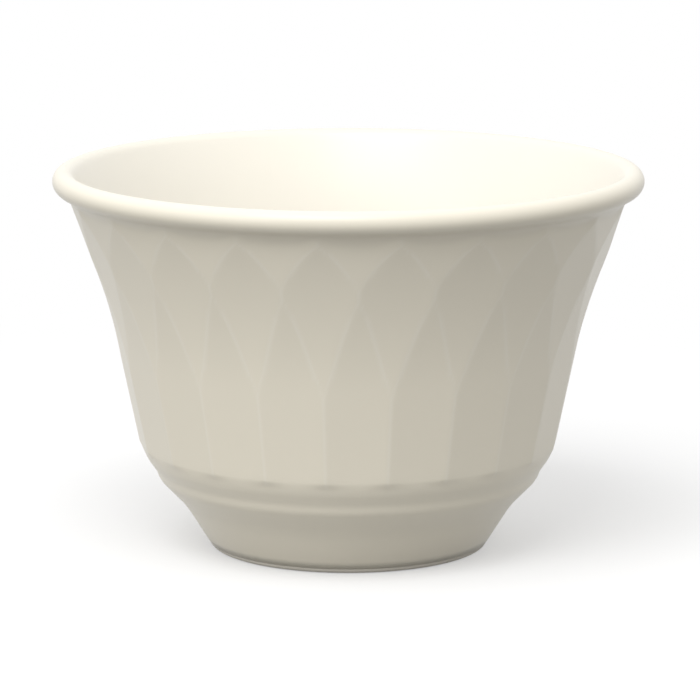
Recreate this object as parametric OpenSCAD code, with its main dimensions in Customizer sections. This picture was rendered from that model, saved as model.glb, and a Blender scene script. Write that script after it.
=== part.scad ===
// Bouillon cup of glazed hotel china: a handleless cup with a rolled rim, a flared wall
// cut in interlaced gothic arches, a round shoulder with a stepped band, and a tapered foot.
// The fired clay body stands on a dry ring. The glaze is a coat over the inside and outside.

/* [Rim] */
// Diameter over the rolled rim
rim_d = 98; // [94:0.5:104]
// Height from the table to the top of the rim
cup_h = 63.6; // [61:0.2:70]
// Thickness of the rolled rim
roll_d = 3.8; // [3.4:0.1:4.6]
// Radius of the hollow under the rolled rim
rim_cove_r = 4; // [2.5:0.5:5.5]
// Thickness of the wall behind the arches
wall_t = 2.7; // [2.3:0.1:3.1]

/* [Gothic arches] */
// Number of arches round the wall
arch_count = 22; // [18:1:26]
// How much more upright the lower wall stands than the line from shoulder to rim, in degrees
wall_flare = 3.5; // [2.6:0.1:4.2]
// Height at which the arches spring from the upright ridges
spring_h = 32; // [28:0.2:35]
// Height at which neighbouring arches cross
cross_h = 49.5; // [47.5:0.1:51]
// Height of the points of the arches
point_h = 57.9; // [55:0.1:59]
// How much more upright the kites start than the ridges, in degrees
kite_lean = 3; // [2.2:0.1:3.6]

/* [Shoulder and band] */
// Diameter over the ridges, measured at the shoulder
shoulder_d = 69.7; // [67.5:0.1:71.5]
// Height at which the line of the wall meets the underside of the shoulder
shoulder_h = 16.8; // [16:0.1:18]
// Radius that rounds the shoulder
shoulder_r = 5; // [3:0.5:6]
// How far the band steps in under the shoulder
band_step = 2.5; // [2:0.1:3]
// How far the top of the band lies below the shoulder
band_drop = 3.5; // [3:0.1:4.5]
// Height of the face of the band
band_face = 1.5; // [1:0.1:2]
// Lean of the face of the band from upright, in degrees
band_lean = 20; // [10:1:28]

/* [Foot] */
// Diameter of the foot on the table
foot_d = 45.9; // [44:0.1:48]
// Lean of the foot from upright, in degrees
foot_lean = 32; // [29:0.5:34]
// Height at which the foot turns out to the band
foot_h = 7.5; // [6.5:0.1:8.5]
// Width of the dry ring that the cup stands on
ring_w = 4.2; // [3:0.1:5.5]
// Depth of the recess inside the ring
recess_h = 2.4; // [1.5:0.1:3.5]

/* [Inside] */
// Thickness of the base over the recess
base_t = 4.6; // [4:0.1:6]
// Radius between the wall and the floor of the bowl
bowl_r = 20; // [16:0.5:22]

/* [Glaze] */
// Thickness of the glaze
glaze_t = 0.3; // [0.2:0.05:0.5]
// Height above the table at which the glaze stops
glaze_line = 0.8; // [0.7:0.1:2]

/* [Hidden] */
$fn = 180;
flare_fn = 720;
clay_color = [0.90, 0.87, 0.80];
glaze_color = [0.92, 0.90, 0.83];

// Small edge radii of the turned profile
foot_edge_r = 1;
foot_turn_r = 5;
band_edge_r = 0.8;
band_cove_r = 1.5;
// How far the round shoulder stands proud of the ridges
shoulder_proud = 0.05;
// How far the face inside the wall and the hollow under the rim run into what they touch, so
// that they cross it cleanly
roll_bite = 0.05;
// How far two kites stand below the tip between them, so that they meet in a short ridge
tip_proud = 0.05;
// Draft of the recess, in degrees
recess_draft = 15;
// Height of straight lancet above the springing, so that the ridges end on the kites alone
lancet_lead = 1;
// Overlap of parts that are joined or cut
lap = 0.5;
// Chords in a rounded corner, in the bowl and in the face of a lancet
corner_steps = 6;
bowl_steps = 12;
lancet_steps = 8;

roll_r = roll_d / 2;
roll_c = [rim_d / 2 - roll_r, cup_h - roll_r];
panel = 360 / arch_count;
half_cos = cos(panel / 2);
floor_h = recess_h + base_t;
ring_in = foot_d / 2 - ring_w;
// Width of the blocks that cut the facets, and how far they reach past them
cut_w = rim_d / 2;
cut_room = roll_d;

// Direction straight out of a face that leans outward by a degrees
function out(a) = [cos(a), -sin(a)];
// Lean of the line from p to q
function lean(p, q) = atan2(q.x - p.x, q.y - p.y);
// Point at height z on the line through p that leans by a
function at_height(p, a, z) = [p.x + (z - p.y) * tan(a), z];
// Arc of radius r round c, between the points where the curve leans by a and by b
function bulge(c, r, a, b, n) = [for (i = [0 : n]) c + r * out(a + (b - a) * i / n)];
function hollow(c, r, a, b, n) = [for (i = [0 : n]) c - r * out(a + (b - a) * i / n)];
// Corner p between leans a and b, moved back with its two faces by t
function set_back(p, a, b, t) = p - out((a + b) / 2) * (t / cos((a - b) / 2));
// Arc of radius r that rounds the corner p: it swells out or is drawn in, as the corner does.
// With both faces set back by t, a swelling arc gets tighter and a hollow one wider.
function round_at(p, a, b, r, t) = a > b
    ? bulge(set_back(p, a, b, r), r - t, a, b, corner_steps)
    : hollow(set_back(p, a, b, -r), r + t, a, b, corner_steps);

// Ridges of the lower wall, and the point where each kite springs from its ridge
ridge_foot = [shoulder_d / 2, shoulder_h];
wall_lean = lean(ridge_foot, roll_c) - wall_flare;
function ridge_at(z) = at_height(ridge_foot, wall_lean, z);
kite_foot = ridge_at(spring_h);
kite_a = wall_lean - kite_lean;

// Flare of the kites: an arc that leaves the ridge and passes the roll, so that the wall
// behind it is one wall thickness and runs into the roll on the inside
flare_past = wall_t - roll_r + roll_bite;
flare_v = kite_foot - roll_c;
flare_r = (flare_past ^ 2 - flare_v * flare_v) / (2 * (flare_v * out(kite_a) - flare_past));
flare_c = kite_foot + flare_r * out(kite_a);
function kite_at(z) = flare_c.x - sqrt(flare_r ^ 2 - (z - flare_c.y) ^ 2);

// Lancets face half a panel round from the kites. Their face swings out past the kites where
// the arches cross, and the spandrels above swing back, which draws the pointed arches.
lancet_a = atan(tan(wall_lean) * half_cos);
lancet_foot = [ridge_at(spring_h + lancet_lead).x * half_cos, spring_h + lancet_lead];
lancet_tip = [kite_at(cross_h) / half_cos + tip_proud, cross_h];
lancet_v = lancet_tip - lancet_foot;
lancet_r = lancet_v * lancet_v / (2 * (lancet_v * out(lancet_a)));
lancet_c = lancet_foot + lancet_r * out(lancet_a);
tip_a = asin((cross_h - lancet_c.y) / lancet_r);
spandrel_a = lean(lancet_tip, [kite_at(point_h) * half_cos, point_h]);

// Corners of the turned outline under the wall, and the leans between them
foot_edge = [foot_d / 2, 0];
foot_turn = at_height(foot_edge, foot_lean, foot_h);
band_top = ridge_foot - [band_step, band_drop];
band_low = at_height(band_top, band_lean, band_top.y - band_face);
shoulder = ridge_foot + [shoulder_proud, 0];
step_a = lean(foot_turn, band_low);
under_a = lean(band_top, shoulder);

// Face inside the wall: parallel to the kites from where it is nearest the roll's centre down to
// where it leans as the ridges do, then parallel to the ridges, and rounded into the floor
inner_r = flare_r + wall_t;
inner_top_a = lean(roll_c, flare_c) - 90;
inner_foot = flare_c - inner_r * out(wall_lean);
bowl_c = set_back(at_height(inner_foot, wall_lean, floor_h), wall_lean, 90, bowl_r);

// Hollow under the rim, from the spandrels to the roll. Its centre lies one radius off both.
rim_cove_off = roll_r + rim_cove_r - roll_bite;
roll_out = (roll_c - lancet_tip) * out(spandrel_a);
rim_cove_a = spandrel_a + acos((rim_cove_r - roll_bite - roll_out) / rim_cove_off);
rim_cove_c = roll_c + rim_cove_off * out(rim_cove_a);

// Outline of the turned blank above height z, with every glazed face set back by t
function foot_arc(t) = round_at(foot_turn, foot_lean, step_a, foot_turn_r, t);
function band_arc(t) = round_at(band_low, step_a, band_lean, band_edge_r, t);
function cove_arc(t) = round_at(band_top, band_lean, under_a, band_cove_r, t);
function shoulder_arc(t) = round_at(shoulder, under_a, wall_lean, shoulder_r, t);
function bowl_arc(t) = bulge(bowl_c, bowl_r + t, wall_lean, 90, bowl_steps);
function blank(t, z) = concat(
    [at_height(foot_edge - t * out(foot_lean), foot_lean, z)],
    foot_arc(t),
    band_arc(t),
    cove_arc(t),
    shoulder_arc(t),
    [roll_c + [roll_r / 2, 0]],
    hollow(flare_c, inner_r - t, inner_top_a, wall_lean, bowl_steps),
    bowl_arc(t),
    [[0, floor_h - t], [0, z]]);

// Outside of a lancet and of the spandrel over it, from below where it runs out on the shoulder
module lancet_cut(t) {
    foot = at_height(lancet_foot - t * out(lancet_a), lancet_a, band_top.y);
    tip = set_back(lancet_tip, tip_a, spandrel_a, t);
    top = at_height(tip, spandrel_a, cup_h);
    last_a = tip_a - (tip_a - lancet_a) / lancet_steps;
    polygon(concat(
        [foot],
        hollow(lancet_c, lancet_r + t, lancet_a, last_a, lancet_steps - 1),
        [tip, top, [rim_d, top.y], [rim_d, foot.y]]));
}

// Outside of a kite
module kite_cut(t) {
    intersection() {
        translate(flare_c) circle(flare_r + t, $fn = flare_fn);
        translate([0, spring_h - cut_room]) square([rim_d, cup_h - spring_h + cut_room]);
    }
}

// Blocks of one outline that stand round the wall, one to a panel
module round_wall(first) {
    for (i = [0 : arch_count - 1])
        rotate(panel * (i + first))
            rotate([90, 0, 0])
                linear_extrude(cut_w, center = true) children();
}

// Rolled rim and the hollow under it, with their faces set back by t
module rim(t) {
    cove = hollow(rim_cove_c, rim_cove_r + t, spandrel_a, rim_cove_a, corner_steps);
    in_wall = cove[0] - wall_t / 2 * out(spandrel_a);
    rotate_extrude() {
        translate(roll_c) circle(roll_r - t);
        polygon(concat([in_wall], cove, [roll_c]));
    }
}

// The whole form above height z, with every glazed face set back by t
module cup_form(t, z) {
    difference() {
        difference() {
            rotate_extrude() polygon(blank(t, z));
            round_wall(0.5) lancet_cut(t);
        }
        round_wall(0) kite_cut(t);
    }
    rim(t);
}

// Bare foot, flush with the glaze that stops on top of it
module dry_foot() {
    rim = at_height(foot_edge, foot_lean, glaze_line);
    core = rim.x - glaze_t / cos(foot_lean) - lap;
    rotate_extrude() polygon(concat(
        [[0, 0]],
        round_at(foot_edge, 90, foot_lean, foot_edge_r, 0),
        [rim, [core, glaze_line], [core, glaze_line + lap], [0, glaze_line + lap]]));
}

// Radius of the recess under the base at height z
function recess_at(z) = ring_in - z * tan(recess_draft);

// Fired clay under the glaze, with the recess that leaves it standing on a ring
module clay() {
    roof = recess_h + glaze_t;
    difference() {
        union() {
            cup_form(glaze_t, glaze_line / 2);
            dry_foot();
        }
        translate([0, 0, -lap]) cylinder(roof + lap, recess_at(-lap), recess_at(roof));
    }
}

module china_body() {
    color(clay_color) clay();
}

module glaze_coat() {
    color(glaze_color) difference() {
        cup_form(0, glaze_line);
        clay();
        cylinder(recess_h + glaze_t + lap, r = ring_in + lap);
    }
}

module base_glaze() {
    color(glaze_color) translate([0, 0, recess_h])
        cylinder(glaze_t, recess_at(recess_h), recess_at(recess_h + glaze_t));
}

china_body();
glaze_coat();
base_glaze();
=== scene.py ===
# %% [markdown]
# # A bouillon cup in ivory hotel china
#
# The real cup is one piece of fired clay under a coat of ivory glaze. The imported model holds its
# solids at their real size: the clay body, the coat of glaze, and the glaze under the base. This
# lesson gives them their looks. Lengths are in metres, +Z is up, and the origin is on the table
# under the middle of the foot.

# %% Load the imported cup
import math

import bmesh
import bpy
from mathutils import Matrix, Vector


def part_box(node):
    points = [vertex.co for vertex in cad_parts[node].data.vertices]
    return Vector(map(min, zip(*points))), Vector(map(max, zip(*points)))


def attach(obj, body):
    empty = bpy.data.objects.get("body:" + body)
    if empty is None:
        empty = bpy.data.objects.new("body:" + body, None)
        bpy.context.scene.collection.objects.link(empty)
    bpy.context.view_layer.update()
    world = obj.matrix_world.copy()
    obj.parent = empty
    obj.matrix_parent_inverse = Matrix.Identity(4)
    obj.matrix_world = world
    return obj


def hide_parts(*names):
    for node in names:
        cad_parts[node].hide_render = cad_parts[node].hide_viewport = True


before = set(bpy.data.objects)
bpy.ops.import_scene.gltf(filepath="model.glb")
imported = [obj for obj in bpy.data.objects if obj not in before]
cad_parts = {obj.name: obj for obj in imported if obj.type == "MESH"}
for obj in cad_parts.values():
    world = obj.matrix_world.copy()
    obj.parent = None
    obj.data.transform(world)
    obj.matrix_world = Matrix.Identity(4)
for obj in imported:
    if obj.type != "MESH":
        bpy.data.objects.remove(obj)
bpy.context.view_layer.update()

MM = 0.001
coat_low, coat_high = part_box("glaze_coat")
print("nodes:", sorted(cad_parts))

# %% [markdown]
# ## The faces of the wall
#
# The mould of such a cup is cut with two rings of faces. One ring, the kites, looks straight out
# from the upright ridges. The other, the lancets below and the spandrels above, looks out half a
# step round. Where the two rings cross they draw pointed arches that interlace. Carving each arch
# by hand would be slow, so the faces are written as what they are: a distance from the cup's axis
# at each height. A face that curves outward is an arc, given by where it starts, how it leans
# there, and a point that it passes through.

# %% Heights and distances of the faces
ARCHES = 22
HALF_STEP = math.pi / ARCHES
SHOULDER_R, SHOULDER_H = 34.85 * MM, 16.8 * MM
WALL_LEAN = math.radians(11.76)
SPRING_H, CROSS_H, POINT_H = 32 * MM, 49.5 * MM, 57.9 * MM
KITE_LEAN = WALL_LEAN - math.radians(3)
KITE_TOP_R = 46.107 * MM
LANCET_START_H = 33 * MM
LANCET_PROUD = 0.05 * MM


def flare(start, lean, end):
    """Centre and radius of the arc, hollow on the outside, from start at this lean through end."""
    outward = Vector((math.cos(lean), -math.sin(lean)))
    reach = Vector(end) - Vector(start)
    radius = reach.length_squared / (2 * reach.dot(outward))
    return Vector(start) + radius * outward, radius


def on_flare(arc, z):
    """Distance of the arc from the axis at height z."""
    centre, radius = arc
    return centre.x - math.sqrt(radius ** 2 - (z - centre.y) ** 2)


def ridge_face(z):
    """Distance of the upright ridges from the axis."""
    return SHOULDER_R + (z - SHOULDER_H) * math.tan(WALL_LEAN)


kite_arc = flare((ridge_face(SPRING_H), SPRING_H), KITE_LEAN, (KITE_TOP_R, POINT_H))


def kite_face(z):
    """Distance of the kites from the axis."""
    return on_flare(kite_arc, z)


lancet_lean = math.atan(math.tan(WALL_LEAN) * math.cos(HALF_STEP))
lancet_start = (ridge_face(LANCET_START_H) * math.cos(HALF_STEP), LANCET_START_H)
lancet_tip = (kite_face(CROSS_H) / math.cos(HALF_STEP) + LANCET_PROUD, CROSS_H)
lancet_arc = flare(lancet_start, lancet_lean, lancet_tip)
spandrel_top = kite_face(POINT_H) * math.cos(HALF_STEP)
spandrel_slope = (spandrel_top - lancet_tip[0]) / (POINT_H - CROSS_H)


def half_step_face(z):
    """Distance of the lancets, and of the spandrels over them, from the axis."""
    if z <= LANCET_START_H:
        return ridge_face(z) * math.cos(HALF_STEP)
    if z <= CROSS_H:
        return on_flare(lancet_arc, z)
    return lancet_tip[0] + (z - CROSS_H) * spandrel_slope


print("wall at the springing:", round(kite_face(SPRING_H) / MM, 2), "mm from the axis")
print("kites curve on a radius of", round(kite_arc[1] / MM), "mm, lancets on", round(lancet_arc[1] / MM))

# %% [markdown]
# ## The outline of the glaze
#
# A potter's template gives the cup its outline, so the glaze starts as an outline too: a wire in
# the XZ plane that runs up the outside, round the rolled rim and down the inside to the middle of
# the floor. A pen draws it. Straight stretches extrude the last vertex, and round stretches spin
# it. Each vertex also notes how far the faces of the wall will be pressed into it later, how much
# pooled glaze and painted shade it gets under the rim, how thin the glaze runs, and whether it lies
# inside the bowl.

# %% A pen that draws with extrude and spin
glaze_bm = bmesh.new()
press_layer = glaze_bm.verts.layers.float.new("press")
pool_and_shade_layer = glaze_bm.verts.layers.float.new("pool")
thin_layer = glaze_bm.verts.layers.float.new("thin")
inside_layer = glaze_bm.verts.layers.float.new("inside")
ACROSS = Vector((0, -1, 0))


class Pen:
    def __init__(self, bm, x, z):
        self.bm = bm
        self.tip = bm.verts.new((x, 0, z))

    def line(self, x, z):
        """Draws a straight stretch and returns its last vertex."""
        self.tip = bmesh.ops.extrude_vert_indiv(self.bm, verts=[self.tip])["verts"][0]
        self.tip.co = (x, 0, z)
        return self.tip

    def arc(self, x, z, angle, steps):
        """Draws an arc round (x, z) and returns its new vertices in order."""
        drawn = []
        for _ in range(steps):
            swept = bmesh.ops.spin(self.bm, geom=[self.tip], cent=(x, 0, z), axis=ACROSS,
                                   angle=angle / steps, steps=1)
            self.tip = swept["geom_last"][0]
            drawn.append(self.tip)
        return drawn


def angle_at(point, x, z):
    """Direction of a vertex seen from (x, z), in the plane of the outline."""
    return math.atan2(point.co.z - z, point.co.x - x)


def round_corner(bm, corner, radius, segments):
    """Turns a corner of the outline into an arc and returns the vertices of that arc."""
    arms = [edge.other_vert(corner).co - corner.co for edge in corner.link_edges]
    turn = math.pi - arms[0].angle(arms[1])
    known = set(bm.verts)
    bmesh.ops.bevel(bm, geom=[corner], offset=radius * math.tan(turn / 2), offset_type="OFFSET",
                    segments=segments, profile=0.5, affect="VERTICES", material=-1)
    return [vert for vert in bm.verts if vert not in known]


# %% [markdown]
# ## Foot, band and shoulder
#
# The foot tapers in to the table, a narrow band steps out over it, and the wall swells over the
# band in a round shoulder. The corners are drawn sharp and then bevelled, because a bevelled
# corner keeps its neighbours straight. The faces of the wall run out on the shoulder: it is turned
# as deep as the middle of a face, and the ridges, which stand proud of that, fade out on its upper
# half.

# %% Draw the foot, the band and the shoulder
FOOT_R, FOOT_LEAN = 22.95 * MM, math.radians(32)
FOOT_TURN_H, FOOT_TURN_ROUND = 7.5 * MM, 15 * MM
BAND_TOP = (32.35 * MM, 13.3 * MM)
BAND_FACE, BAND_LEAN = 1.5 * MM, math.radians(20)
BAND_ROUND, COVE_ROUND, SHOULDER_ROUND = 3 * MM, 4 * MM, 7.5 * MM
WALL_FOOT_H = 18.6 * MM
CORNER_STEPS, SHOULDER_STEPS = 5, 12

ridge_proud = SHOULDER_R * (1 - math.cos(HALF_STEP))
shoulder_slope = (SHOULDER_R - BAND_TOP[0]) / (SHOULDER_H - BAND_TOP[1])
turned_shoulder_h = SHOULDER_H - ridge_proud / (shoulder_slope - math.tan(WALL_LEAN))

pen = Pen(glaze_bm, FOOT_R + coat_low.z * math.tan(FOOT_LEAN), coat_low.z)
foot_turn = pen.line(FOOT_R + FOOT_TURN_H * math.tan(FOOT_LEAN), FOOT_TURN_H)
band_low = pen.line(BAND_TOP[0] - BAND_FACE * math.tan(BAND_LEAN), BAND_TOP[1] - BAND_FACE)
band_top = pen.line(*BAND_TOP)
shoulder = pen.line(ridge_face(turned_shoulder_h) - ridge_proud, turned_shoulder_h)
wall_foot = pen.line(ridge_face(WALL_FOOT_H) - ridge_proud, WALL_FOOT_H)
spring = pen.line(ridge_face(SPRING_H), SPRING_H)
wall_foot[press_layer] = spring[press_layer] = 1

round_corner(glaze_bm, foot_turn, FOOT_TURN_ROUND, CORNER_STEPS)
round_corner(glaze_bm, band_low, BAND_ROUND, CORNER_STEPS)
round_corner(glaze_bm, band_top, COVE_ROUND, CORNER_STEPS)
shoulder_arc = round_corner(glaze_bm, shoulder, SHOULDER_ROUND, SHOULDER_STEPS)
for count, vert in enumerate(sorted(shoulder_arc, key=lambda vert: vert.co.z)):
    vert[press_layer] = (1 - math.cos(math.pi * max(2 * count / SHOULDER_STEPS - 1, 0))) / 2
print("outline so far:", len(glaze_bm.verts), "vertices up to the springing of the arches")

# %% [markdown]
# ## The flared wall and the rolled rim
#
# Above the springing the outline follows a kite, which flares out to the roll. The roll stands out
# from the wall, and a hollow arc under it touches the spandrels and the roll, so that a cloth finds
# no notch to catch in. The centre of that arc lies one radius off both, which fixes it. The points
# of the arches run out in the hollow.

# %% Draw the wall, the hollow and the roll
ROLL_R = 1.9 * MM
ROLL_X, ROLL_Z = coat_high.x - ROLL_R, coat_high.z - ROLL_R
HOLLOW_R = 4 * MM
HOLLOW_LEAD = 0.4 * MM
WALL_ROWS, HOLLOW_STEPS, ROLL_STEPS = 28, 8, 18

spandrel_lean = math.atan(spandrel_slope)
roll_out = ((ROLL_X - lancet_tip[0]) * math.cos(spandrel_lean)
            - (ROLL_Z - CROSS_H) * math.sin(spandrel_lean))
hollow_turn = math.acos((HOLLOW_R - roll_out) / (HOLLOW_R + ROLL_R))
hollow_lean = spandrel_lean + hollow_turn
hollow_x = ROLL_X + (HOLLOW_R + ROLL_R) * math.cos(hollow_lean)
hollow_z = ROLL_Z - (HOLLOW_R + ROLL_R) * math.sin(hollow_lean)
hollow_low = (hollow_x - HOLLOW_R * math.cos(spandrel_lean),
              hollow_z + HOLLOW_R * math.sin(spandrel_lean))

(flare_x, flare_z), flare_r = kite_arc
wall_top_h = hollow_low[1] - HOLLOW_LEAD
wall_top_dir = math.pi - math.asin((wall_top_h - flare_z) / flare_r)
for vert in pen.arc(flare_x, flare_z, wall_top_dir - angle_at(spring, flare_x, flare_z), WALL_ROWS):
    vert[press_layer] = 1

hollow_verts = [pen.line(*hollow_low)] + pen.arc(hollow_x, hollow_z, -hollow_turn, HOLLOW_STEPS)
# The pool mask tints the hollow under the roll greyer: partly glaze that pools there, partly painted
# shade where shade falls.
for count, vert in enumerate(hollow_verts):
    vert[press_layer] = (1 + math.cos(math.pi * count / HOLLOW_STEPS)) / 2
    vert[pool_and_shade_layer] = math.sin(math.pi * count / HOLLOW_STEPS)
print("hollow under the roll starts at", round(hollow_low[1] / MM, 1), "mm")

roll_dir = math.atan2(ROLL_Z - flare_z, ROLL_X - flare_x)
# The inside mask ramps up over the roll; it paints the bowl paler, as painted light.
for count, vert in enumerate(pen.arc(ROLL_X, ROLL_Z, roll_dir + hollow_lean, ROLL_STEPS), start=1):
    vert[inside_layer] = (count / ROLL_STEPS) ** 2
print("outline over the roll:", len(glaze_bm.verts), "vertices")

# %% [markdown]
# ## The inside of the bowl
#
# Inside, the wall runs parallel to the kites, so it is an arc round the same centre that leaves the
# roll without a corner. Where it leans as the ridges outside do, it goes on straight, and a wide
# arc turns it into the floor. The floor ends on the cup's axis. With the outline whole, its long
# straight stretches are halved until all of them are short, so that the faces of the turned skin
# come out near enough square.

# %% Draw the inside
FLOOR_H, BOWL_R = 7 * MM, 20 * MM
INNER_ROWS, BOWL_STEPS = 12, 12
ROW_MAX = 1.8 * MM

inside_verts = pen.arc(flare_x, flare_z, math.pi - WALL_LEAN - roll_dir, INNER_ROWS)
inner_x, _, inner_z = pen.tip.co
bowl_top_z = FLOOR_H + BOWL_R * (1 - math.sin(WALL_LEAN))
inside_verts.append(pen.line(inner_x - (inner_z - bowl_top_z) * math.tan(WALL_LEAN), bowl_top_z))
bowl_x = pen.tip.co.x - BOWL_R * math.cos(WALL_LEAN)
inside_verts += pen.arc(bowl_x, FLOOR_H + BOWL_R, WALL_LEAN - math.pi / 2, BOWL_STEPS)
inside_verts.append(pen.line(0, FLOOR_H))
# The inside mask paints the bowl paler, as painted light.
for vert in inside_verts:
    vert[inside_layer] = 1

while long_edges := [edge for edge in glaze_bm.edges if edge.calc_length() > ROW_MAX]:
    bmesh.ops.subdivide_edges(glaze_bm, edges=long_edges, cuts=1)
print("whole outline:", len(glaze_bm.verts), "vertices, floor at", round(FLOOR_H / MM, 1), "mm")

# %% [markdown]
# ## Turn the outline
#
# A wheel turns the template round the clay, and spin turns the outline round the Z axis. Each half
# step between a ridge and its neighbour gets the same number of columns. The last column falls on
# the first and the floor's middle is one point, so doubles are merged before the normals are set.

# %% Spin the outline into a skin
COLUMNS_PER_HALF = 6
MERGE_DIST = 0.001 * MM
columns = ARCHES * 2 * COLUMNS_PER_HALF


def turn(bm, steps):
    """Turns an outline once round the Z axis, and closes its seam and its pole."""
    bmesh.ops.spin(bm, geom=bm.verts[:] + bm.edges[:], cent=(0, 0, 0), axis=(0, 0, 1),
                   angle=2 * math.pi, steps=steps, use_merge=True)
    bmesh.ops.remove_doubles(bm, verts=bm.verts[:], dist=MERGE_DIST)
    bmesh.ops.recalc_face_normals(bm, faces=bm.faces[:])


turn(glaze_bm, columns)
print("skin:", columns, "columns,", len(glaze_bm.faces), "faces")

# %% [markdown]
# ## Press the arches
#
# In the mould the wall is pressed against the cut faces, and the nearest face to the axis wins. So
# each vertex of the wall moves in to the smallest of the face distances. Glaze softens the edges
# where two faces meet, so a blend takes the place of a plain minimum: within a small difference it
# rounds the edge off. Glaze also runs thin on those edges, which is noted for the finish.
#
# The columns are first slid sideways, so that one of them runs along each arch. Then an edge of the
# mesh follows every pointed line, and the line stays clean however close the camera is.

# %% Slide the columns and press the faces
EDGE_SOFT = 0.07 * MM
SLIDE_KEEP = 0.2
SLIDE_GATHER = 1.4
FULL_STEP = 2 * HALF_STEP


def blend(a, b):
    """The smaller of two distances, rounded off where they are nearly the same."""
    near = max(EDGE_SOFT - abs(a - b), 0) / EDGE_SOFT
    return min(a, b) - near ** 2 * EDGE_SOFT / 4


def wall_at(angle, z, smaller):
    """Distance of the pressed wall from the axis, at an angle from the nearest ridge."""
    kite, half = kite_face(z), half_step_face(z)
    kites = smaller(kite / math.cos(angle), kite / math.cos(FULL_STEP - angle))
    halves = smaller(half / math.cos(HALF_STEP - angle), half / math.cos(HALF_STEP + angle))
    return smaller(kites, halves)


def arch_line(z):
    """Angle from the ridge at which a kite meets the lancet or spandrel beside it."""
    return math.atan((half_step_face(z) / kite_face(z) - math.cos(HALF_STEP)) / math.sin(HALF_STEP))


def slide(angle, z):
    """Moves a column so that the middle one of each half step lies on the arch, with more near it."""
    line = min(max(arch_line(z), SLIDE_KEEP * HALF_STEP), (1 - SLIDE_KEEP) * HALF_STEP)
    share = 2 * angle / HALF_STEP
    if share < 1:
        return line * (1 - (1 - share) ** SLIDE_GATHER)
    return line + (HALF_STEP - line) * (share - 1) ** SLIDE_GATHER


def press(vert):
    """Moves one vertex onto its face. The face fades out down the shoulder and ends in the hollow."""
    weight, z = vert[press_layer], vert.co.z
    turned = math.atan2(vert.co.y, vert.co.x)
    ridge = round(turned / FULL_STEP) * FULL_STEP
    angle = abs(turned - ridge)
    angle += weight * (slide(angle, z) - angle)
    soft, sharp = wall_at(angle, z, blend), wall_at(angle, z, min)
    radius = math.hypot(vert.co.x, vert.co.y)
    if z > wall_top_h + HOLLOW_LEAD / 2:
        radius = max(radius, soft)
    elif weight < 1:
        radius += weight * (soft - ridge_face(z) + ridge_proud)
    else:
        radius = soft
    turned = ridge + math.copysign(angle, turned - ridge)
    vert.co.x, vert.co.y = radius * math.cos(turned), radius * math.sin(turned)
    vert[thin_layer] = min(1, weight * (sharp - soft) / (EDGE_SOFT / 4))


wall_verts = [vert for vert in glaze_bm.verts if vert[press_layer] > 0]
for vert in wall_verts:
    press(vert)
print("pressed", len(wall_verts), "vertices into", ARCHES, "arches")

# %% [markdown]
# ## Give the glaze its thickness
#
# The skin is the outer face of a coat that lies on the clay. Solidify adds the back of the coat
# along the normals, so it comes last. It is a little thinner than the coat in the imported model, to
# keep its back clear of the clay.

# %% Thicken the skin and make the piece
COAT_T = 0.25 * MM


def make_piece(bm, name):
    """Turns a finished bmesh into a smooth-shaded object at the origin that rides on the cup."""
    for face in bm.faces:
        face.smooth = True
    mesh = bpy.data.meshes.new(name)
    bm.to_mesh(mesh)
    bm.free()
    piece = bpy.data.objects.new(name, mesh)
    bpy.context.scene.collection.objects.link(piece)
    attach(piece, "root")
    return piece


glaze_bm.verts.layers.float.remove(press_layer)
bmesh.ops.solidify(glaze_bm, geom=glaze_bm.faces[:], thickness=COAT_T)
print("coat:", round(glaze_bm.calc_volume(signed=True) / MM ** 3), "mm3")
glaze = make_piece(glaze_bm, "glaze")
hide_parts("glaze_coat")

# %% [markdown]
# ## The glaze under the base
#
# The base is glazed inside the dry ring. Fired glaze draws up the side of the recess in a hollow
# curve, as water does in a glass, so the flat pool gets a rounded rim. It is drawn, rounded, turned
# and thickened like the coat.

# %% Make the pool under the base
POOL_ROUND, POOL_RISE = 1.1 * MM, 1.5 * MM
RECESS_DRAFT = math.radians(15)
POOL_COLUMNS_PER_HALF = 2
base_low, base_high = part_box("base_glaze")
pool_bm = bmesh.new()
pool_pen = Pen(pool_bm, 0, base_low.z)
pool_corner = pool_pen.line(base_high.x - COAT_T, base_low.z)
pool_pen.line(base_high.x - COAT_T + POOL_RISE * math.tan(RECESS_DRAFT), base_low.z - POOL_RISE)
round_corner(pool_bm, pool_corner, POOL_ROUND, CORNER_STEPS)
turn(pool_bm, ARCHES * 2 * POOL_COLUMNS_PER_HALF)
if max(pool_bm.faces, key=lambda face: face.calc_center_median().z).normal.z > 0:
    bmesh.ops.reverse_faces(pool_bm, faces=pool_bm.faces[:])
bmesh.ops.solidify(pool_bm, geom=pool_bm.faces[:], thickness=COAT_T)
print("pool:", len(pool_bm.faces), "faces,", round(pool_bm.calc_volume(signed=True) / MM ** 3), "mm3")
base_pool = make_piece(pool_bm, "base_pool")
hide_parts("base_glaze")

# %% [markdown]
# ## Specks and clouds that clay and glaze share
#
# China is never one flat colour. Slow clouds come from the fire, and fine specks from iron in the
# clay, which shows bare on the ring and faintly through the glaze. Both materials need them, so they
# are one node group with named inputs. It reads the cup's own coordinates, so the marks stay put
# when the camera moves.

# %% Build the shared node group
def add_node(tree, kind, **values):
    """Adds a node and sets its properties, or its inputs where a property has no such name."""
    node = tree.nodes.new(kind)
    for name, value in values.items():
        if hasattr(node, name):
            setattr(node, name, value)
        else:
            node.inputs[name.replace("_", " ")].default_value = value
    return node


SPECK_CORE, SPECK_EDGE = 0.1, 0.22

marks = bpy.data.node_groups.new("fired_marks", "ShaderNodeTree")
for name, low, high in (("Cloud Scale", 10, 500), ("Speck Scale", 100, 5000), ("Speck Share", 0, 1)):
    socket = marks.interface.new_socket(name, in_out="INPUT", socket_type="NodeSocketFloat")
    socket.min_value, socket.max_value = low, high
marks.interface.new_socket("Clouds", in_out="OUTPUT", socket_type="NodeSocketFloat")
marks.interface.new_socket("Specks", in_out="OUTPUT", socket_type="NodeSocketFloat")

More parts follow.
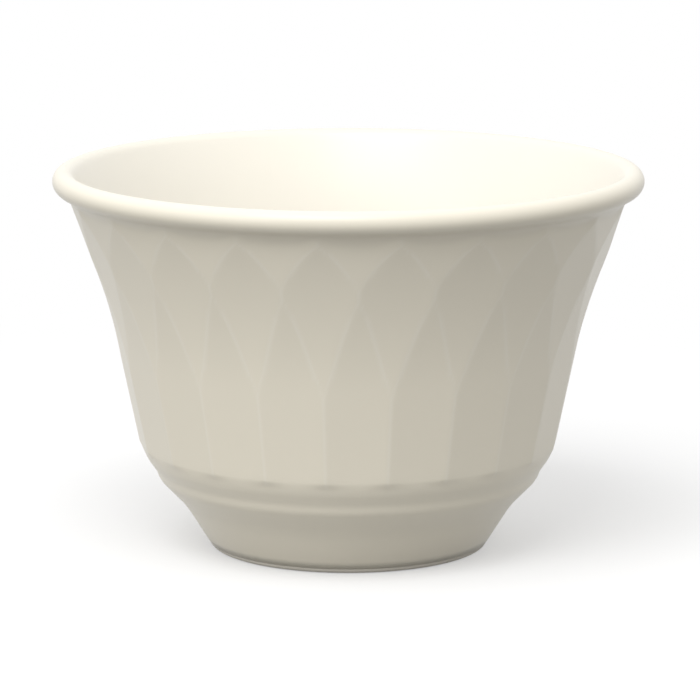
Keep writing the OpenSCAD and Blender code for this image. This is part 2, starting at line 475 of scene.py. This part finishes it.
marks_in = marks.nodes.new("NodeGroupInput")
marks_out = marks.nodes.new("NodeGroupOutput")
marks_where = marks.nodes.new("ShaderNodeTexCoord")
clouds = add_node(marks, "ShaderNodeTexNoise", Detail=3.0, Roughness=0.5)
cells = add_node(marks, "ShaderNodeTexVoronoi", feature="F1")
rare = add_node(marks, "ShaderNodeMath", operation="LESS_THAN")
dots = add_node(marks, "ShaderNodeMapRange", From_Min=SPECK_CORE, From_Max=SPECK_EDGE,
                To_Min=1.0, To_Max=0.0)
specks = add_node(marks, "ShaderNodeMath", operation="MULTIPLY")
pick = marks.nodes.new("ShaderNodeSeparateColor")
for texture, scale in ((clouds, "Cloud Scale"), (cells, "Speck Scale")):
    marks.links.new(marks_where.outputs["Object"], texture.inputs["Vector"])
    marks.links.new(marks_in.outputs[scale], texture.inputs["Scale"])
marks.links.new(cells.outputs["Color"], pick.inputs["Color"])
marks.links.new(pick.outputs["Red"], rare.inputs[0])
marks.links.new(marks_in.outputs["Speck Share"], rare.inputs[1])
marks.links.new(cells.outputs["Distance"], dots.inputs["Value"])
marks.links.new(rare.outputs["Value"], specks.inputs[0])
marks.links.new(dots.outputs["Result"], specks.inputs[1])
marks.links.new(clouds.outputs["Fac"], marks_out.inputs["Clouds"])
marks.links.new(specks.outputs["Value"], marks_out.inputs["Specks"])
print("node group:", marks.name, "with", len(marks.nodes), "nodes")

# %% [markdown]
# ## Ivory glaze
#
# The glaze is clear glass over cream clay: an even cream colour under a soft gloss. Where it is
# thin, on the edges of the arches, the clay shows through a shade lighter. Under the rim the glaze
# is tinted a shade greyer, partly for glaze that pools there and partly as painted shade. The bowl is
# painted paler, as painted light for the bright light that fills it.
# The surface waves a little, as poured glaze does, so the gloss is not a perfect mirror. The masks
# were stored on the vertices, because they follow the shape.

# %% Make the glaze material
IVORY = (0.80, 0.75, 0.63, 1)
IVORY_CLOUD = (0.785, 0.735, 0.615, 1)
IVORY_THIN = (0.84, 0.80, 0.70, 1)
# Greyer glaze under the rim: partly pooled glaze, partly painted shade.
IVORY_POOL_AND_SHADE = (0.70, 0.655, 0.55, 1)
# Painted light: the bowl is painted paler, as if lit more brightly.
IVORY_BOWL_PAINTED_LIGHT = (0.79, 0.76, 0.685, 1)
SPECK_BROWN = (0.36, 0.27, 0.17, 1)
THIN_STRENGTH, POOL_AND_SHADE_STRENGTH, SPECK_STRENGTH = 0.45, 0.3, 0.2
GLAZE_ROUGHNESS, GLAZE_HAZE, GLAZE_SPECULAR = 0.32, 0.02, 0.32
RIPPLE_SCALE, RIPPLE_STRENGTH, RIPPLE_DEPTH = 160.0, 0.12, 0.02 * MM


def new_material(name):
    """A new material, its node tree and the Principled shader in it."""
    material = bpy.data.materials.new(name)
    material.use_nodes = True
    tree = material.node_tree
    return material, tree, tree.nodes["Principled BSDF"]


# Places of the colour sockets on a Mix node that mixes colours
MIX_FACTOR, MIX_UNDER, MIX_OVER, MIX_RESULT = 0, 6, 7, 2


def tint(tree, mask, under, over, strength=1.0):
    """Lays a colour over what is under it, where a mask says so, and returns the result."""
    mix = add_node(tree, "ShaderNodeMix", data_type="RGBA")
    amount = add_node(tree, "ShaderNodeMath", operation="MULTIPLY", use_clamp=True)
    amount.inputs[1].default_value = strength
    tree.links.new(mask, amount.inputs[0])
    tree.links.new(amount.outputs["Value"], mix.inputs[MIX_FACTOR])
    if isinstance(under, tuple):
        mix.inputs[MIX_UNDER].default_value = under
    else:
        tree.links.new(under, mix.inputs[MIX_UNDER])
    mix.inputs[MIX_OVER].default_value = over
    return mix.outputs[MIX_RESULT]


def place_marks(tree, cloud_scale, speck_scale, speck_share):
    """Puts the shared clouds and specks into a material, at this material's own sizes."""
    node = tree.nodes.new("ShaderNodeGroup")
    node.node_tree = marks
    node.inputs["Cloud Scale"].default_value = cloud_scale
    node.inputs["Speck Scale"].default_value = speck_scale
    node.inputs["Speck Share"].default_value = speck_share
    return node


ivory_glaze, tree, shader = new_material("ivory_glaze")
glaze_marks = place_marks(tree, cloud_scale=45, speck_scale=420, speck_share=0.004)
thin = add_node(tree, "ShaderNodeAttribute", attribute_name="thin")
pool = add_node(tree, "ShaderNodeAttribute", attribute_name="pool")
inside = add_node(tree, "ShaderNodeAttribute", attribute_name="inside")
color = tint(tree, glaze_marks.outputs["Clouds"], IVORY, IVORY_CLOUD)
color = tint(tree, thin.outputs["Fac"], color, IVORY_THIN, THIN_STRENGTH)
# Painted shade, partly pooled glaze: the hollow under the rim is tinted greyer.
color = tint(tree, pool.outputs["Fac"], color, IVORY_POOL_AND_SHADE, POOL_AND_SHADE_STRENGTH)
# Painted light: the bowl is tinted paler, standing in for the bright light inside it.
color = tint(tree, inside.outputs["Fac"], color, IVORY_BOWL_PAINTED_LIGHT)
color = tint(tree, glaze_marks.outputs["Specks"], color, SPECK_BROWN, SPECK_STRENGTH)
tree.links.new(color, shader.inputs["Base Color"])
shader.inputs["Specular IOR Level"].default_value = GLAZE_SPECULAR

haze = add_node(tree, "ShaderNodeMapRange", To_Min=GLAZE_ROUGHNESS - GLAZE_HAZE,
                To_Max=GLAZE_ROUGHNESS + GLAZE_HAZE)
tree.links.new(glaze_marks.outputs["Clouds"], haze.inputs["Value"])
tree.links.new(haze.outputs["Result"], shader.inputs["Roughness"])

where = tree.nodes.new("ShaderNodeTexCoord")
waves = add_node(tree, "ShaderNodeTexNoise", Scale=RIPPLE_SCALE, Detail=1.0)
ripple = add_node(tree, "ShaderNodeBump", Strength=RIPPLE_STRENGTH, Distance=RIPPLE_DEPTH)
tree.links.new(where.outputs["Object"], waves.inputs["Vector"])
tree.links.new(waves.outputs["Fac"], ripple.inputs["Height"])
tree.links.new(ripple.outputs["Normal"], shader.inputs["Normal"])

for piece in (glaze, base_pool):
    piece.data.materials.append(ivory_glaze)
print("glaze material:", len(tree.nodes), "nodes on", glaze.name, "and", base_pool.name)

# %% [markdown]
# ## Dry clay
#
# The ring that the cup stands on is wiped free of glaze before firing, or the cup would stick to
# the kiln shelf. It is bare vitrified clay: matt, a little greyer than the glaze, and gritty, with
# fine rings where it was ground flat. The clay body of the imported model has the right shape, so it
# stays and only gets this finish.

# %% Make the clay material
CLAY = (0.79, 0.75, 0.66, 1)
CLAY_CLOUD = (0.71, 0.67, 0.585, 1)
CLAY_SPECK = (0.30, 0.25, 0.19, 1)
CLAY_ROUGHNESS = 0.85
CLAY_SPECK_STRENGTH = 0.6
GRIT_SCALE, GRAIN_STRENGTH, GRAIN_DEPTH = 2600.0, 0.5, 0.05 * MM
RING_SCALE, RING_WOBBLE, RING_SHARE = 900.0, 1.5, 0.35

dry_clay, tree, shader = new_material("dry_clay")
clay_marks = place_marks(tree, cloud_scale=220, speck_scale=900, speck_share=0.05)
color = tint(tree, clay_marks.outputs["Clouds"], CLAY, CLAY_CLOUD)
color = tint(tree, clay_marks.outputs["Specks"], color, CLAY_SPECK, CLAY_SPECK_STRENGTH)
tree.links.new(color, shader.inputs["Base Color"])
shader.inputs["Roughness"].default_value = CLAY_ROUGHNESS

where = tree.nodes.new("ShaderNodeTexCoord")
grit = add_node(tree, "ShaderNodeTexNoise", Scale=GRIT_SCALE, Detail=2.0)
rings = add_node(tree, "ShaderNodeTexWave", wave_type="RINGS", rings_direction="Z",
                 Scale=RING_SCALE, Distortion=RING_WOBBLE)
grind = add_node(tree, "ShaderNodeMath", operation="MULTIPLY_ADD")
grind.inputs[1].default_value = RING_SHARE
grain = add_node(tree, "ShaderNodeBump", Strength=GRAIN_STRENGTH, Distance=GRAIN_DEPTH)
for texture in (grit, rings):
    tree.links.new(where.outputs["Object"], texture.inputs["Vector"])
tree.links.new(rings.outputs["Fac"], grind.inputs[0])
tree.links.new(grit.outputs["Fac"], grind.inputs[2])
tree.links.new(grind.outputs["Value"], grain.inputs["Height"])
tree.links.new(grain.outputs["Normal"], shader.inputs["Normal"])

china_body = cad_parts["china_body"]
china_body.material_slots[0].material = dry_clay
print("clay material:", len(tree.nodes), "nodes on", china_body.name)

# %% [markdown]
# ## A white studio
#
# The cup stands on a white floor with no edge in sight. A floor as white as it looks would throw so
# much light up that the shade under the rim would be lost, so the floor is grey to the light that
# falls on the cup, and paler close by, where it lights the foot. Rays from the camera, and those that
# a gloss sends out, see it white: near the cup with its shadow, and further off plain. From below the
# floor is clear, and a window in it, hidden under the foot, lets light reach the base.

# %% Build the floor
FLOOR_SIZE = 3.0
FLOOR_GAP = 0.05 * MM
FLOOR_PALE = (0.36, 0.36, 0.36, 1)
FLOOR_GREY = (0.2, 0.2, 0.2, 1)
FLOOR_WHITE = (0.9, 0.9, 0.9, 1)
FLOOR_ROUGHNESS = 0.9
PALE_NEAR, PALE_FAR = 0.04, 0.15
UNDER_FOOT = 22.2 * MM
SHADOW_NEAR, SHADOW_FAR = 0.05, 0.22
SHADOW_SHARE = 0.6

floor_bm = bmesh.new()
bmesh.ops.create_grid(floor_bm, x_segments=1, y_segments=1, size=FLOOR_SIZE)
bmesh.ops.translate(floor_bm, verts=floor_bm.verts[:], vec=(0, 0, -FLOOR_GAP))
floor_mesh = bpy.data.meshes.new("floor")
floor_bm.to_mesh(floor_mesh)
floor_bm.free()
floor = bpy.data.objects.new("floor", floor_mesh)
bpy.context.scene.collection.objects.link(floor)

white_floor, tree, shader = new_material("white_floor")
shader.inputs["Roughness"].default_value = FLOOR_ROUGHNESS
shader.inputs["Specular IOR Level"].default_value = 0.0


def seen_rays(tree):
    """A mask of the rays that see the backdrop itself: from the camera, a gloss or a glass."""
    path = tree.nodes.new("ShaderNodeLightPath")
    sum_one = add_node(tree, "ShaderNodeMath", operation="ADD")
    sum_two = add_node(tree, "ShaderNodeMath", operation="ADD", use_clamp=True)
    tree.links.new(path.outputs["Is Camera Ray"], sum_one.inputs[0])
    tree.links.new(path.outputs["Is Glossy Ray"], sum_one.inputs[1])
    tree.links.new(sum_one.outputs["Value"], sum_two.inputs[0])
    tree.links.new(path.outputs["Is Transmission Ray"], sum_two.inputs[1])
    return sum_two.outputs["Value"]


seen_mask = seen_rays(tree)
where = tree.nodes.new("ShaderNodeTexCoord")
away = add_node(tree, "ShaderNodeVectorMath", operation="LENGTH")
reach = add_node(tree, "ShaderNodeMapRange", From_Min=PALE_NEAR, From_Max=PALE_FAR)
tree.links.new(away.outputs["Value"], reach.inputs["Value"])
color = tint(tree, reach.outputs["Result"], FLOOR_PALE, FLOOR_GREY)
color = tint(tree, seen_mask, color, FLOOR_WHITE)
tree.links.new(color, shader.inputs["Base Color"])

fade = add_node(tree, "ShaderNodeMapRange", interpolation_type="SMOOTHSTEP", From_Min=SHADOW_NEAR,
                From_Max=SHADOW_FAR, To_Min=1 - SHADOW_SHARE, To_Max=1.0)
seen = add_node(tree, "ShaderNodeMath", operation="MULTIPLY")
white = add_node(tree, "ShaderNodeEmission", Color=(1, 1, 1, 1), Strength=1.0)
lit = tree.nodes.new("ShaderNodeMixShader")
side = tree.nodes.new("ShaderNodeNewGeometry")
under = add_node(tree, "ShaderNodeMath", operation="LESS_THAN")
under.inputs[1].default_value = UNDER_FOOT
window = add_node(tree, "ShaderNodeMath", operation="MAXIMUM")
clear = tree.nodes.new("ShaderNodeBsdfTransparent")
two_sided = tree.nodes.new("ShaderNodeMixShader")
tree.links.new(where.outputs["Object"], away.inputs[0])
tree.links.new(away.outputs["Value"], fade.inputs["Value"])
tree.links.new(seen_mask, seen.inputs[0])
tree.links.new(fade.outputs["Result"], seen.inputs[1])
tree.links.new(seen.outputs["Value"], lit.inputs[0])
tree.links.new(shader.outputs["BSDF"], lit.inputs[1])
tree.links.new(white.outputs["Emission"], lit.inputs[2])
tree.links.new(away.outputs["Value"], under.inputs[0])
tree.links.new(side.outputs["Backfacing"], window.inputs[0])
tree.links.new(under.outputs["Value"], window.inputs[1])
tree.links.new(window.outputs["Value"], two_sided.inputs[0])
tree.links.new(lit.outputs["Shader"], two_sided.inputs[1])
tree.links.new(clear.outputs["BSDF"], two_sided.inputs[2])
tree.links.new(two_sided.outputs["Shader"], tree.nodes["Material Output"].inputs["Surface"])
floor_mesh.materials.append(white_floor)
print("floor:", 2 * FLOOR_SIZE, "m wide")

# %% [markdown]
# ## Light from all round
#
# In a white studio much of the light comes off the walls and the ceiling, evenly from all sides. The
# world stands in for them, because it lights every face without a lamp to place. Like the floor it
# has two tones: a little under white for the light on the cup, and plain white where it is seen.

# %% Light the room
ROOM_LIGHT = 0.79

world = bpy.data.worlds.new("studio")
bpy.context.scene.world = world
world.use_nodes = True
tree = world.node_tree
room = tree.nodes["Background"]
room.inputs["Color"].default_value = (1, 1, 1, 1)
room.inputs["Strength"].default_value = ROOM_LIGHT
backdrop = add_node(tree, "ShaderNodeBackground", Color=(1, 1, 1, 1), Strength=1.0)
either = tree.nodes.new("ShaderNodeMixShader")
tree.links.new(seen_rays(tree), either.inputs[0])
tree.links.new(room.outputs["Background"], either.inputs[1])
tree.links.new(backdrop.outputs["Background"], either.inputs[2])
tree.links.new(either.outputs["Shader"], tree.nodes["World Output"].inputs["Surface"])
print("room light:", ROOM_LIGHT)

# %% [markdown]
# ## Lamps
#
# Two soft boxes light the cup. A wide one above the front fills the bowl, and the more a face leans
# out under the rim, the less of it the face gets, which tells kites from lancets. One at the front
# left makes the faces step down in tone from left to right. Large lamps close by give the soft
# gradients of a product picture.

# %% Hang the lamps
def hang_lamp(name, place, aim, size, watts):
    """A square soft box at a place, turned to shine on a point."""
    data = bpy.data.lights.new(name, "AREA")
    data.shape = "SQUARE"
    data.size = size
    data.energy = watts
    lamp = bpy.data.objects.new(name, data)
    lamp.location = place
    lamp.rotation_mode = "QUATERNION"
    lamp.rotation_quaternion = (Vector(aim) - Vector(place)).to_track_quat("-Z", "Y")
    bpy.context.scene.collection.objects.link(lamp)


CUP_MIDDLE = (0, 0, coat_high.z / 2)
hang_lamp("front_top", (-0.15, -0.4, 0.75), CUP_MIDDLE, size=0.5, watts=4.2)
hang_lamp("front_left", (-0.75, -0.65, 0.45), CUP_MIDDLE, size=0.6, watts=1.9)

# %% [markdown]
# ## The camera
#
# The photograph was taken with a long lens, a little above the rim, so the ellipse of the rim is
# flat and the sides hardly converge. Distance, height and lens below were found by fitting the
# cup's rim, shoulder and foot to it. The camera stands a touch to the left of a ridge.

# %% Place the camera
LENS = 215.4
CAMERA_DISTANCE = 0.7
CAMERA_HEIGHT_ANGLE = math.radians(10.94)
CAMERA_SIDE_ANGLE = math.radians(-92.18)
AXIS_POINT = Vector((0, 0, 32 * MM))
FRAME_RIGHT, FRAME_UP = 0.26 * MM, 0.72 * MM

camera_data = bpy.data.cameras.new("camera")
camera_data.lens = LENS
camera_data.dof.use_dof = False
camera = bpy.data.objects.new("camera", camera_data)
bpy.context.scene.collection.objects.link(camera)
bpy.context.scene.camera = camera
away = Vector((math.cos(CAMERA_HEIGHT_ANGLE) * math.cos(CAMERA_SIDE_ANGLE),
               math.cos(CAMERA_HEIGHT_ANGLE) * math.sin(CAMERA_SIDE_ANGLE),
               math.sin(CAMERA_HEIGHT_ANGLE)))
camera.location = AXIS_POINT + CAMERA_DISTANCE * away
right = Vector((0, 0, 1)).cross(away).normalized()
aim = AXIS_POINT + FRAME_RIGHT * right + FRAME_UP * away.cross(right)
camera.rotation_mode = "QUATERNION"
camera.rotation_quaternion = (aim - camera.location).to_track_quat("-Z", "Y")
print("camera:", round(camera.location.length, 3), "m from the origin")

# %% [markdown]
# ## The view transform
#
# The colours are shown through the Standard view transform. The finished cup has to keep to the
# imported model's box.

# %% Set the view transform
bpy.context.scene.view_settings.view_transform = "Standard"
